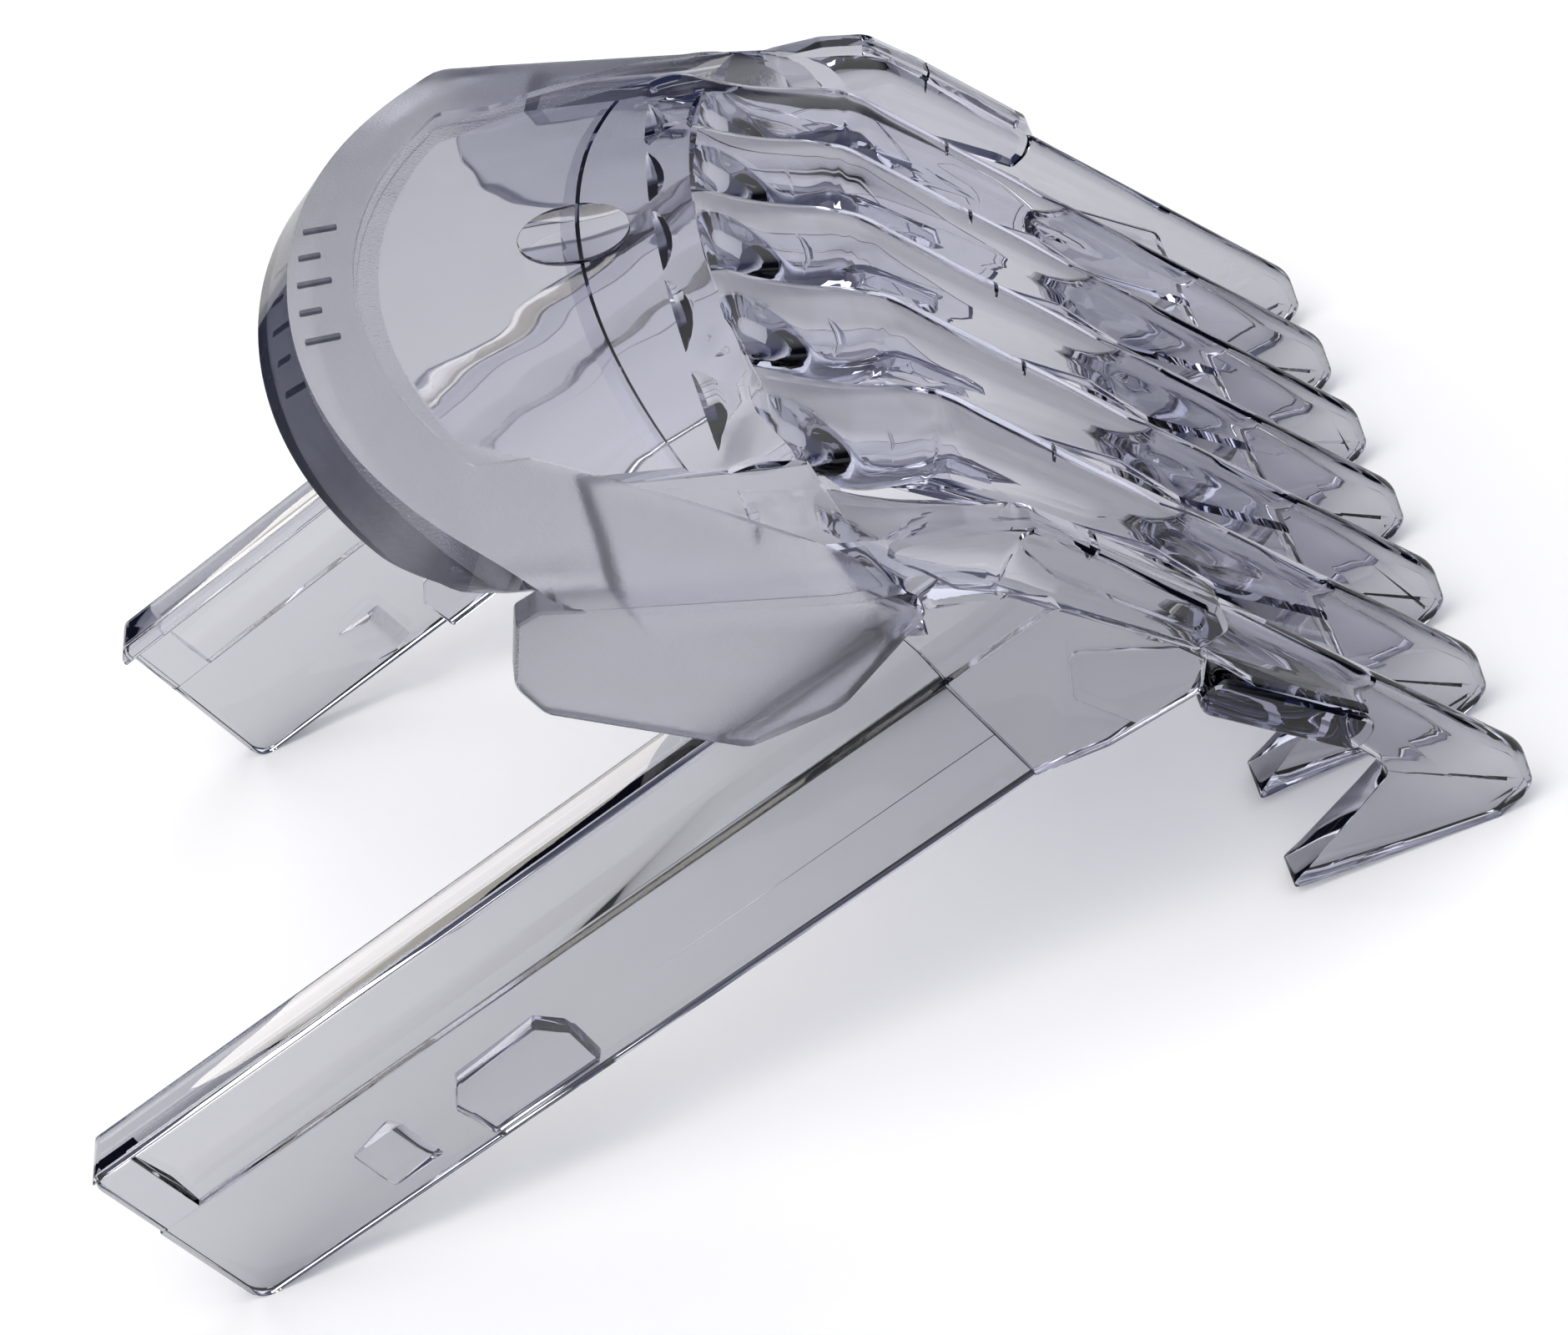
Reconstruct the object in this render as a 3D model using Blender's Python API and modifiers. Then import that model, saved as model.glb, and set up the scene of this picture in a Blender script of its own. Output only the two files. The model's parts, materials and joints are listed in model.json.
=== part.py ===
"""A slide-on guard comb for a hair clipper, modelled as the regions of its one-shot clear moulding.

The comb is drawn square to its arms: X across, +Y to the rear, +Z to the roof side, with Y = 0 where the arms'
lower edges meet the head. The comb_frame empty then sets it down as it stands on a table, on its tooth tips and
its arm ends.
"""

import math

import bmesh
import bpy
from mathutils import Matrix, Vector

MM = 0.001
GAP = 0.3 * MM

# Teeth: seven, a pitch apart, each a wide wedge at the roof and a thin blade in front.
TOOTH_COUNT = 7
TOOTH_PITCH = 7.4 * MM
BLADE_WIDTH = 1.7 * MM
ROOT_Y = -0.6 * MM
CREST_Y = -6.2 * MM
CREST_Z = 17.0 * MM
CREST_FALL = 9.5
NOSE_Y = -17.6 * MM
NOSE_Z = -15.6 * MM
SOLE_Z = -18.3 * MM
BARB_Y = -4.3 * MM
BARB_Z = -14.8 * MM

# Roof: rises to the rear and is crowned from side to side.
ROOF_Z = 22.4 * MM
ROOF_SLOPE = 0.588
ROOF_CROWN = 8.3
REAR_CROWN = 5.3
SHOULDER_Y = 11.0 * MM
ROOF_THICKNESS = 1.8 * MM
ROOF_HALF_FRONT = 23.2 * MM
ROOF_HALF_REAR = 25.2 * MM
RIM_Y = 18.0 * MM
RIM_SWEEP = 3.1
RIM_HOOK = 16.0e3
RIM_WIDTH = 3.9 * MM
RIM_THICKNESS = 2.3 * MM
TICK_COUNT = 5
TICK_SPACING = 2.6 * MM

# Arms: flat webs with a recessed rail and an inward flange on top.
ARM_OUTER = 23.0 * MM
WEB_THICKNESS = 1.5 * MM
WEB_HEIGHT = 7.3 * MM
ARM_HEIGHT = 12.5 * MM
RAIL_RECESS = 0.5 * MM
FLANGE_WIDTH = 2.9 * MM
FLANGE_THICKNESS = 1.0 * MM
ARM_END = 50.0 * MM
HEEL_RADIUS = 1.0 * MM
FLEX_Y = 14.0 * MM

# The comb stands on the soles of its teeth and the rounded lower corners, or heels, of its arm ends.
SOLE_Y = -14.6 * MM
HEEL_FROM_SOLE = Vector((ARM_END - HEEL_RADIUS - SOLE_Y, HEEL_RADIUS - SOLE_Z))
LEAN = math.atan2(HEEL_FROM_SOLE.y, HEEL_FROM_SOLE.x) - math.asin(HEEL_RADIUS / HEEL_FROM_SOLE.length)

CLEAR = (0.72, 0.72, 0.76, 1.0)


def clear_out():
    for old in list(bpy.data.objects):
        bpy.data.objects.remove(old, do_unlink=True)


def new_collection(name, hidden=False):
    group = bpy.data.collections.new(name)
    bpy.context.scene.collection.children.link(group)
    group.hide_render = hidden
    return group


def plastic(name, colour, roughness=0.08):
    """A clear moulded plastic for one sub-part."""
    material = bpy.data.materials.new(name)
    material.use_nodes = True
    surface = material.node_tree.nodes["Principled BSDF"]
    surface.inputs["Base Color"].default_value = colour
    surface.inputs["Roughness"].default_value = roughness
    surface.inputs["Metallic"].default_value = 0.0
    surface.inputs["IOR"].default_value = 1.58
    surface.inputs["Transmission Weight"].default_value = 0.6
    return material


def empty(name, location, parent=None):
    marker = bpy.data.objects.new(name, None)
    marker.empty_display_size = 5 * MM
    marker.location = location
    marker.parent = parent
    COMB.objects.link(marker)
    return marker


def rounded(corners, steps=4):
    """An outline from (a, b, radius) corners in order, each turned with an arc of its radius."""
    points = []
    count = len(corners)
    for index, (a, b, radius) in enumerate(corners):
        here = Vector((a, b))
        if radius == 0:
            points.append(here)
            continue
        before = (Vector(corners[index - 1][:2]) - here).normalized()
        after = (Vector(corners[(index + 1) % count][:2]) - here).normalized()
        half = before.angle(after) / 2
        middle = here + (before + after).normalized() * (radius / math.sin(half))
        start = here + before * (radius / math.tan(half)) - middle
        end = here + after * (radius / math.tan(half)) - middle
        points += [middle + radius * start.slerp(end, step / steps) for step in range(steps + 1)]
    return points


def extruded(name, outline, depth):
    """A flat outline given a depth, centred on its plane, as a closed mesh."""
    drawing = bpy.data.curves.new(name, "CURVE")
    drawing.dimensions = "2D"
    drawing.fill_mode = "BOTH"
    drawing.extrude = depth / 2
    spline = drawing.splines.new("POLY")
    spline.points.add(len(outline) - 1)
    for point, (a, b) in zip(spline.points, outline):
        point.co = (a, b, 0, 1)
    spline.use_cyclic_u = True
    drawn = bpy.data.objects.new(name + "_outline", drawing)
    bpy.context.scene.collection.objects.link(drawn)
    evaluated = drawn.evaluated_get(bpy.context.evaluated_depsgraph_get())
    mesh = bpy.data.meshes.new_from_object(evaluated)
    bpy.data.objects.remove(drawn)
    shape = bmesh.new()
    shape.from_mesh(mesh)
    bmesh.ops.remove_doubles(shape, verts=shape.verts, dist=1e-6)
    bmesh.ops.recalc_face_normals(shape, faces=shape.faces)
    shape.to_mesh(mesh)
    shape.free()
    mesh.name = name
    return mesh


def place(name, mesh, group, matrix=None):
    """An object for a mesh, whose shape is moved by the matrix first."""
    if matrix is not None:
        mesh.transform(matrix)
    solid = bpy.data.objects.new(name, mesh)
    group.objects.link(solid)
    return solid


# A drawing's (a, b) becomes (Y, Z), and its depth runs along X.
SIDE_VIEW = Matrix(((0, 0, 1, 0), (1, 0, 0, 0), (0, 1, 0, 0), (0, 0, 0, 1)))
# A drawing's (a, b) becomes (X, Z), and its depth runs along -Y.
REAR_VIEW = Matrix(((1, 0, 0, 0), (0, 0, -1, 0), (0, 1, 0, 0), (0, 0, 0, 1)))


def side_plate(name, corners, inner_x, outer_x, group=None):
    """A plate with a (y, z) outline between two X planes."""
    mesh = extruded(name, rounded(corners), abs(outer_x - inner_x))
    middle = Matrix.Translation(((inner_x + outer_x) / 2, 0, 0))
    return place(name, mesh, group or COMB, middle @ SIDE_VIEW)


def finish(solid, material, parent, bevel=0.0):
    """Gives a sub-part its material, its softened edges and its place in the assembly."""
    solid.data.materials.clear()
    solid.data.materials.append(material)
    if bevel:
        softened = solid.modifiers.new("softened_edges", "BEVEL")
        softened.width = bevel
        softened.segments = 1
        softened.limit_method = "ANGLE"
        softened.angle_limit = math.radians(50)
    solid.data.set_sharp_from_angle(angle=math.radians(30))
    solid.parent = parent
    if parent is not FRAME:
        solid.data.transform(Matrix.Translation(-parent.location))
    return solid


def boolean(solid, cutter, operation, name):
    change = solid.modifiers.new(name, "BOOLEAN")
    change.operation = operation
    change.solver = "EXACT"
    change.object = cutter
    cutter.hide_render = True
    cutter.display_type = "WIRE"


def applied(solid):
    """The object with its modifiers made part of its mesh."""
    graph = bpy.context.evaluated_depsgraph_get()
    mesh = bpy.data.meshes.new_from_object(solid.evaluated_get(graph))
    solid.modifiers.clear()
    solid.data = mesh
    return solid


def roof_share(y):
    """How far y is from the roof's front edge towards its shoulders, as 0 to 1."""
    return min(max(y / SHOULDER_Y, 0), 1)


def roof_height(x, y):
    crown = ROOF_CROWN + (REAR_CROWN - ROOF_CROWN) * roof_share(y)
    return ROOF_Z + ROOF_SLOPE * y - crown * x * x


def rim_edge(x):
    return RIM_Y - RIM_SWEEP * x * x - RIM_HOOK * x**4


def roof_half(y):
    return ROOF_HALF_FRONT + (ROOF_HALF_REAR - ROOF_HALF_FRONT) * roof_share(y)


def crowned_sheet(name, front, rear, thickness, across=20, along=6):
    """A sheet on the roof surface between two edges y = front(x) and y = rear(x), thickened downwards."""
    shape = bmesh.new()
    bmesh.ops.create_grid(shape, x_segments=across, y_segments=along, size=1)
    for vertex in shape.verts:
        side, depth = vertex.co.x, (vertex.co.y + 1) / 2
        x = side * ROOF_HALF_FRONT
        y = front(x) + (rear(x) - front(x)) * depth
        x = side * roof_half(y)
        y = front(x) + (rear(x) - front(x)) * depth
        vertex.co = (x, y, roof_height(x, y))
    mesh = bpy.data.meshes.new(name)
    bmesh.ops.recalc_face_normals(shape, faces=shape.faces)
    if sum(face.normal.z for face in shape.faces) < 0:
        bmesh.ops.reverse_faces(shape, faces=shape.faces)
    shape.to_mesh(mesh)
    shape.free()
    sheet = place(name, mesh, COMB)
    wall = sheet.modifiers.new("wall", "SOLIDIFY")
    wall.thickness = thickness
    wall.offset = -1
    return sheet


def make_roof(material):
    roof = crowned_sheet(
        "roof_plate",
        lambda x: ROOT_Y + GAP,
        lambda x: rim_edge(x) - RIM_WIDTH - GAP,
        ROOF_THICKNESS,
    )
    finish(roof, material, FRAME)
    rim = crowned_sheet(
        "rear_rim", lambda x: rim_edge(x) - RIM_WIDTH, rim_edge, RIM_THICKNESS, across=24, along=3
    )
    finish(rim, material, FRAME)
    make_gate_disc(material)
    for index in range(TICK_COUNT):
        make_tick(index, material)


def make_gate_disc(material):
    """The shallow round pad on the middle of the roof, where the plastic was fed in."""
    radius, height, y = 3.0 * MM, 0.3 * MM, 5.5 * MM
    shape = bmesh.new()
    bmesh.ops.create_cone(shape, cap_ends=True, segments=24, radius1=radius, radius2=radius, depth=height)
    mesh = bpy.data.meshes.new("gate_disc")
    shape.to_mesh(mesh)
    shape.free()
    lift = GAP + height
    over = Matrix.Translation((0, y, roof_height(0, y) + lift)) @ Matrix.Rotation(math.atan(ROOF_SLOPE), 4, "X")
    finish(place("gate_disc", mesh, COMB, over), material, FRAME)


def make_tick(index, material):
    """One plain raised mark of the size scale on the rim."""
    x = (index - (TICK_COUNT - 1) / 2) * TICK_SPACING
    length, width, height = (2.2 if index % 2 == 0 else 1.5) * MM, 0.4 * MM, 0.3 * MM
    y = rim_edge(x) - RIM_WIDTH / 2
    shape = bmesh.new()
    bmesh.ops.create_cube(shape, size=1)
    bmesh.ops.scale(shape, vec=(width, length, height), verts=shape.verts)
    mesh = bpy.data.meshes.new("tick")
    shape.to_mesh(mesh)
    shape.free()
    lie = Matrix.Rotation(math.atan(ROOF_SLOPE), 4, "X") @ Matrix.Rotation(2 * ROOF_CROWN * x, 4, "Y")
    over = Matrix.Translation((x, y, roof_height(x, y) + height / 2 + GAP))
    finish(place(f"size_tick_{index + 1}", mesh, COMB, over @ lie), material, FRAME)


def tooth_profile(x):
    """The side outline of the tooth at x. The teeth nearer the sides have a lower crest."""
    crest_z = CREST_Z - CREST_FALL * x * x
    crest_y = CREST_Y - 3.5 * x * x
    land_z = roof_height(x, ROOT_Y) - 0.2 * MM
    return [
        (ROOT_Y, land_z, 0),
        (crest_y, crest_z, 1.6 * MM),
        (NOSE_Y, NOSE_Z, 1.4 * MM),
        (SOLE_Y - 2.2 * MM, SOLE_Z, 1.2 * MM),
        (SOLE_Y, SOLE_Z, 0),
        (BARB_Y, BARB_Z, 0.25 * MM),
        (-12.3 * MM, -11.9 * MM, 0.6 * MM),
        (-9.2 * MM, 1.2 * MM, 1.0 * MM),
        (-3.1 * MM, 12.6 * MM, 1.0 * MM),
        (ROOT_Y, min(17.6 * MM, land_z - 2.4 * MM), 0),
    ]


def tooth_plan():
    """Half the tooth's width against y, from the full pitch at the roof to the thin blade."""
    wide, thin = (TOOTH_PITCH - GAP) / 2, BLADE_WIDTH / 2
    return [
        (wide, 1 * MM),
        (wide, ROOT_Y - 0.6 * MM),
        (thin + 0.35 * MM, CREST_Y + 0.6 * MM),
        (thin, CREST_Y - 1.4 * MM),
        (thin * 0.8, -20 * MM),
    ]


def make_teeth(material):
    half = tooth_plan()
    outline = half + [(-x, y) for x, y in reversed(half)]
    for index in range(TOOTH_COUNT):
        x = ((TOOTH_COUNT - 1) / 2 - index) * TOOTH_PITCH
        name = f"tooth_{index + 1}"
        tooth = side_plate(name, tooth_profile(x), x - TOOTH_PITCH, x + TOOTH_PITCH)
        plan = [(min(max(a + x, -ARM_OUTER), ARM_OUTER), b) for a, b in outline]
        wedge = place(name + "_plan", extruded(name + "_plan", plan, 100 * MM), CUTTERS)
        boolean(tooth, wedge, "INTERSECT", "plan")
        finish(applied(tooth), material, FRAME)


def make_crossbar(material):
    """The lower bar that ties the teeth together, as a bay between each two teeth."""
    profile = [
        (-13.6 * MM, -3.8 * MM, 0.3 * MM),
        (-14.6 * MM, -6.9 * MM, 0.5 * MM),
        (-12.6 * MM, -10.9 * MM, 0.6 * MM),
        (-11.4 * MM, -9.7 * MM, 0.6 * MM),
        (-9.3 * MM, -3.9 * MM, 0.6 * MM),
        (-10.2 * MM, -3.2 * MM, 0.6 * MM),
    ]
    for index in range(TOOTH_COUNT - 1):
        x = ((TOOTH_COUNT - 2) / 2 - index) * TOOTH_PITCH
        half = (TOOTH_PITCH - BLADE_WIDTH) / 2 - GAP
        bay = side_plate(f"crossbar_bay_{index + 1}", profile, x - half, x + half)
        finish(bay, material, FRAME)


def sided(side, x):
    """An X distance from the middle, on the left (-1) or the right (1) side."""
    return side * x


def make_cheek(side, label, material):
    """The side wall from the outermost tooth back to the arm's root."""
    corners = [
        (-2.6 * MM, 12.9 * MM, 0.4 * MM),
        (-8.8 * MM, 1.3 * MM, 0.6 * MM),
        (-8.4 * MM, -1.4 * MM, 0.6 * MM),
        (-3.2 * MM, -1.0 * MM, 1.0 * MM),
        (0, 0, 0),
        (0, ARM_HEIGHT, 0),
    ]
    inner = ARM_OUTER - WEB_THICKNESS
    cheek = side_plate(f"{label}_cheek", corners, sided(side, inner), sided(side, ARM_OUTER))
    finish(cheek, material, FRAME, bevel=0.2 * MM)


def make_wing(side, label, material):
    """The skirt that drops from the roof's side edge over the arm's root."""
    corners = [
        (-1.9 * MM, 11.6 * MM, 0.3 * MM),
        (4.0 * MM, 17.8 * MM, 2.0 * MM),
        (10.6 * MM, 22.4 * MM, 0.3 * MM),
        (14.0 * MM, 21.6 * MM, 1.0 * MM),
        (14.8 * MM, 19.4 * MM, 1.2 * MM),
        (9.3 * MM, 10.3 * MM, 1.2 * MM),
        (4.0 * MM, 9.4 * MM, 1.5 * MM),
    ]
    inner = ARM_OUTER + GAP
    wing = side_plate(f"{label}_wing", corners, sided(side, inner), sided(side, inner + 1.5 * MM))
    finish(wing, material, FRAME, bevel=0.25 * MM)


def rail_section(side):
    """The (x, z) section of the rail: a recessed strip with an inward flange along its top."""
    outer = ARM_OUTER - RAIL_RECESS
    inner = ARM_OUTER - WEB_THICKNESS
    low, high = WEB_HEIGHT + GAP, ARM_HEIGHT
    lip = high - 0.7 * MM
    section = [
        (inner, low),
        (outer, low),
        (outer, lip - 0.4 * MM),
        (ARM_OUTER, lip),
        (ARM_OUTER, high),
        (ARM_OUTER - FLANGE_WIDTH, high),
        (ARM_OUTER - FLANGE_WIDTH, high - FLANGE_THICKNESS),
        (inner, high - FLANGE_THICKNESS),
    ]
    return [(side * x, z) for x, z in section]


def make_rail(name, side, start, end):
    mesh = extruded(name, rail_section(side), end - start)
    return place(name, mesh, COMB, Matrix.Translation((0, (start + end) / 2, 0)) @ REAR_VIEW)


def make_arm_root(side, label, material):
    """The stiff first stretch of the arm, beside the head."""
    inner, start, end = ARM_OUTER - WEB_THICKNESS, GAP, FLEX_Y - GAP
    web = [(start, 0, 0), (end, 0, 0), (end, WEB_HEIGHT, 0), (start, WEB_HEIGHT, 0)]
    root = side_plate(f"{label}_root_web", web, sided(side, inner), sided(side, ARM_OUTER))
    finish(root, material, FRAME, bevel=0.2 * MM)
    finish(make_rail(f"{label}_root_rail", side, start, end), material, FRAME)
    pad = [
        (4.6 * MM, 7.0 * MM, 0.3 * MM),
        (1.0 * MM, 7.0 * MM, 0.3 * MM),
        (0.6 * MM, 3.4 * MM, 0.3 * MM),
        (1.6 * MM, 1.0 * MM, 0.3 * MM),
    ]
    face = inner - GAP
    gusset = side_plate(f"{label}_root_gusset", pad, sided(side, face), sided(side, face - 1.0 * MM))
    finish(gusset, material, FRAME)


def make_arm(side, label, material):
    """The springy stretch of the arm, which carries the guide shoe and the catch."""
    hinge = empty(f"{label}_flex", (side * (ARM_OUTER - WEB_THICKNESS / 2), FLEX_Y, 6 * MM), FRAME)
    inner = ARM_OUTER - WEB_THICKNESS
    web = [
        (FLEX_Y, 0, 0),
        (ARM_END, 0, HEEL_RADIUS),
        (ARM_END, WEB_HEIGHT, 0.3 * MM),
        (FLEX_Y, WEB_HEIGHT, 0),
    ]
    blade = side_plate(f"{label}_arm_web", web, sided(side, inner), sided(side, ARM_OUTER))
    finish(blade, material, hinge, bevel=0.2 * MM)
    finish(make_rail(f"{label}_arm_rail", side, FLEX_Y, ARM_END), material, hinge)

    face = inner - GAP
    shoe = [
        (27.0 * MM, 2.6 * MM, 0),
        (28.0 * MM, 3.9 * MM, 0),
        (33.2 * MM, 3.7 * MM, 0),
        (34.3 * MM, 2.5 * MM, 0),
        (34.1 * MM, 0, 0),
        (27.2 * MM, 0, 0),
    ]
    pad = side_plate(f"{label}_guide_shoe", shoe, sided(side, face), sided(side, face - 0.8 * MM))
    finish(pad, material, hinge, bevel=0.3 * MM)
    make_catch(side, label, material, hinge)


def make_catch(side, label, material, hinge):
    """The detent: a steep front face and a long ramp to the rear."""
    start, end, low, high, lift = 36.7 * MM, 40.0 * MM, 0.9 * MM, 3.8 * MM, 1.0 * MM
    face = ARM_OUTER - WEB_THICKNESS - GAP
    plan = [(face, start), (face - lift, start + 0.9 * MM), (face - 0.15 * MM, end), (face, end)]
    plan = [(side * x, y) for x, y in plan]
    mesh = extruded(f"{label}_catch", plan, high - low)
    catch = place(f"{label}_catch", mesh, COMB, Matrix.Translation((0, 0, (low + high) / 2)))
    finish(catch, material, hinge)


def set_down():
    """Leans the comb onto its soles and heels, at z = 0, with the middle of its box over the origin."""
    FRAME.rotation_euler = (-LEAN, 0, 0)
    bpy.context.view_layer.update()
    graph = bpy.context.evaluated_depsgraph_get()
    points = []
    for solid in COMB.objects:
        if solid.type == "MESH":
            mesh = solid.evaluated_get(graph).data
            points += [solid.matrix_world @ vertex.co for vertex in mesh.vertices]
    ys, zs = [point.y for point in points], [point.z for point in points]
    FRAME.location = (0, -(min(ys) + max(ys)) / 2, -min(zs))


clear_out()
COMB = new_collection("clipper_guard_comb")
CUTTERS = new_collection("cutters", hidden=True)
FRAME = empty("comb_frame", (0, 0, 0))

head_plastic = plastic("head_clear", CLEAR)
make_roof(head_plastic)
make_teeth(plastic("teeth_clear", (0.70, 0.71, 0.76, 1.0)))
make_crossbar(plastic("crossbar_clear", (0.78, 0.78, 0.80, 1.0)))
for side, label in ((-1, "left"), (1, "right")):
    make_cheek(side, label, head_plastic)
    make_wing(side, label, plastic(f"{label}_wing_satin", CLEAR, roughness=0.25))
    make_arm_root(side, label, plastic(f"{label}_root_clear", CLEAR))
    make_arm(side, label, plastic(f"{label}_arm_clear", (0.70, 0.70, 0.75, 1.0)))

set_down()
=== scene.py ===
import json
import math

import bmesh
import bpy
from mathutils import Matrix, Vector


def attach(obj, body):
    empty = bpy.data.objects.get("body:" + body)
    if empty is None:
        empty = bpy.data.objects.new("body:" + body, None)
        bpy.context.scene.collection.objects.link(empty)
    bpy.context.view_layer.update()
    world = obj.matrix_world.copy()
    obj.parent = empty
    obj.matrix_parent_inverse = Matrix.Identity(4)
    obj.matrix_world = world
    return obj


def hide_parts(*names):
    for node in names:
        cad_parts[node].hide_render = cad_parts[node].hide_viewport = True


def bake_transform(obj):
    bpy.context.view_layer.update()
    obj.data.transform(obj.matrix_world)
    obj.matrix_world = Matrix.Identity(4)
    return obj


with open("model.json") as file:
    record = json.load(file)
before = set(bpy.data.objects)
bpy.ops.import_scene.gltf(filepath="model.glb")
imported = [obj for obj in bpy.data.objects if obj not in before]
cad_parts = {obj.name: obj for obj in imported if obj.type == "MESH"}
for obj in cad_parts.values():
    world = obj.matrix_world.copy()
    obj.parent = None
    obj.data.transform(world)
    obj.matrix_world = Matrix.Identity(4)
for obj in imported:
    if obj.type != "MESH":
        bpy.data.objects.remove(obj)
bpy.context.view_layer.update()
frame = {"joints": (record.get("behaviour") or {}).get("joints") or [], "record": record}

mm = 0.001

# The comb is drawn square to its arms, in millimetres: X across, Y to the rear, Z to the roof side.
# The arm's hinge says how the CAD model leans it onto the table.
flexJoint = next(joint for joint in frame["joints"] if joint["name"] == "left_arm_flex")
flexUp = Vector(flexJoint["axis"]).normalized()
flexPoint = Vector((-22.25, 14.0, 6.0)) * mm
leanTurn = Matrix.Rotation(-math.atan2(flexUp.y, flexUp.z), 4, "X")
standing = Matrix.Translation(Vector(flexJoint["pos_m"]) - leanTurn @ flexPoint) @ leanTurn


def toWorld(point):
    return standing @ (Vector(point) * mm)


# ---- colours and nodes

def linear(hexColour):
    parts = [int(hexColour[i:i + 2], 16) / 255 for i in (1, 3, 5)]
    return [p / 12.92 if p <= 0.04045 else ((p + 0.055) / 1.055) ** 2.4 for p in parts] + [1.0]


def addNode(tree, kind, settings=None, inputs=None, links=None):
    # settings are the node's own options, inputs its fixed values, links where its inputs come from
    node = tree.nodes.new(kind)
    for name, value in (settings or {}).items():
        setattr(node, name, value)
    for name, value in (inputs or {}).items():
        node.inputs[name].default_value = value
    for name, source in (links or {}).items():
        tree.links.new(source, node.inputs[name])
    return node


# ---- shapes

def cornersOf(mesh, points):
    # a flat face from (point, radius) corners, each corner rounded by a vertex bevel
    verts = [mesh.verts.new(point) for point, radius in points]
    face = mesh.faces.new(verts)
    count = len(points)
    for index, (point, radius) in enumerate(points):
        if radius <= 0:
            continue
        here = Vector(point)
        before = (Vector(points[index - 1][0]) - here).normalized()
        after = (Vector(points[(index + 1) % count][0]) - here).normalized()
        reach = radius / math.tan(before.angle(after) / 2)
        bmesh.ops.bevel(mesh, geom=[verts[index]], offset=reach, offset_type="OFFSET", segments=6,
                        profile=0.5, affect="VERTICES", material=-1, clamp_overlap=True)
    return mesh.faces[:][0]


def soften(mesh, width, segments=3, angle=30):
    if width <= 0:
        return
    mesh.normal_update()
    sharp = [edge for edge in mesh.edges if edge.is_manifold and edge.calc_face_angle(0) > math.radians(angle)]
    bmesh.ops.bevel(mesh, geom=sharp, offset=width, offset_type="OFFSET", segments=segments, profile=0.5,
                    affect="EDGES", material=-1, clamp_overlap=True)


def shapeOf(mesh, name):
    bmesh.ops.remove_doubles(mesh, verts=mesh.verts, dist=1e-5)
    bmesh.ops.recalc_face_normals(mesh, faces=mesh.faces)
    openEdges = sum(not edge.is_manifold for edge in mesh.edges)
    if openEdges:
        print("   ", name, "has", openEdges, "open edges")
    data = bpy.data.meshes.new(name)
    mesh.to_mesh(data)
    mesh.free()
    shape = bpy.data.objects.new(name, data)
    bpy.context.scene.collection.objects.link(shape)
    return shape


def plate(name, corners, low, high, across="X", softness=0.3, segments=3, shift=None):
    # corners are (a, b, radius); across X they are (y, z), across Y (x, z) and across Z (x, y)
    mesh = bmesh.new()
    place = {"X": lambda a, b: (low, a, b), "Y": lambda a, b: (a, low, b), "Z": lambda a, b: (a, b, low)}[across]
    face = cornersOf(mesh, [(place(a, b), radius) for a, b, radius in corners])
    grown = bmesh.ops.extrude_face_region(mesh, geom=[face])
    step = Vector([high - low if axis == across else 0 for axis in "XYZ"])
    bmesh.ops.translate(mesh, vec=step, verts=[v for v in grown["geom"] if isinstance(v, bmesh.types.BMVert)])
    bmesh.ops.recalc_face_normals(mesh, faces=mesh.faces)
    soften(mesh, softness, segments)
    if shift:
        for vert in mesh.verts:
            vert.co += shift(vert.co)
    return shapeOf(mesh, name)


def combine(base, others, operation="UNION", solver="MANIFOLD"):
    for other in others:
        step = base.modifiers.new("combine", "BOOLEAN")
        step.operation = operation
        step.solver = solver
        step.object = other
    graph = bpy.context.evaluated_depsgraph_get()
    data = bpy.data.meshes.new_from_object(base.evaluated_get(graph))
    base.modifiers.clear()
    base.data = data
    for other in others:
        bpy.data.objects.remove(other)
    return base


def softenShape(shape, width, segments=3, angle=30):
    mesh = bmesh.new()
    mesh.from_mesh(shape.data)
    bmesh.ops.dissolve_limit(mesh, angle_limit=math.radians(1), verts=mesh.verts, edges=mesh.edges)
    soften(mesh, width, segments, angle)
    mesh.to_mesh(shape.data)
    mesh.free()
    return shape


# ---- roof

roof = {"height": 22.4, "slope": 0.588, "crown": 0.0081, "rearCrown": 0.0034, "shoulder": 11.0,
        "front": -1.6, "root": -0.3, "rootSweep": 0.003, "half": 24.8, "roll": 2.2, "rim": 16.9, "sweep": 0.0086, "hook": 6.2e-6, "chamfer": 1.9,
        "landRadius": 40.8, "landFront": 14.1, "wall": 1.7, "landWall": 2.0, "landRise": 0.25,
        "creaseRise": 0.7, "creaseRear": (16.8, 8.2), "creaseFront": (24.3, -1.5),
        "deckRear": 5.5, "deckSweep": 0.006, "deckWall": 2.05, "deckSlant": -1.0}


def roofHeight(x, y):
    # a crowned slope that flattens to the rear and rolls over into the wings at each side
    share = min(max(y / roof["shoulder"], 0), 1)
    crown = roof["crown"] + (roof["rearCrown"] - roof["crown"]) * share
    past = min(max(abs(x) - (roof["half"] - roof["roll"]), 0), roof["roll"])
    rolled = roof["roll"] - math.sqrt(roof["roll"] ** 2 - past ** 2)
    return roof["height"] + roof["slope"] * y - crown * x * x - rolled


def rimEdge(x):
    return roof["rim"] - roof["sweep"] * x * x - roof["hook"] * x ** 4


def landEdge(x):
    return roof["landFront"] - roof["landRadius"] + math.sqrt(roof["landRadius"] ** 2 - x * x)


def mixed(a, b, share):
    return a + (b - a) * share


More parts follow.
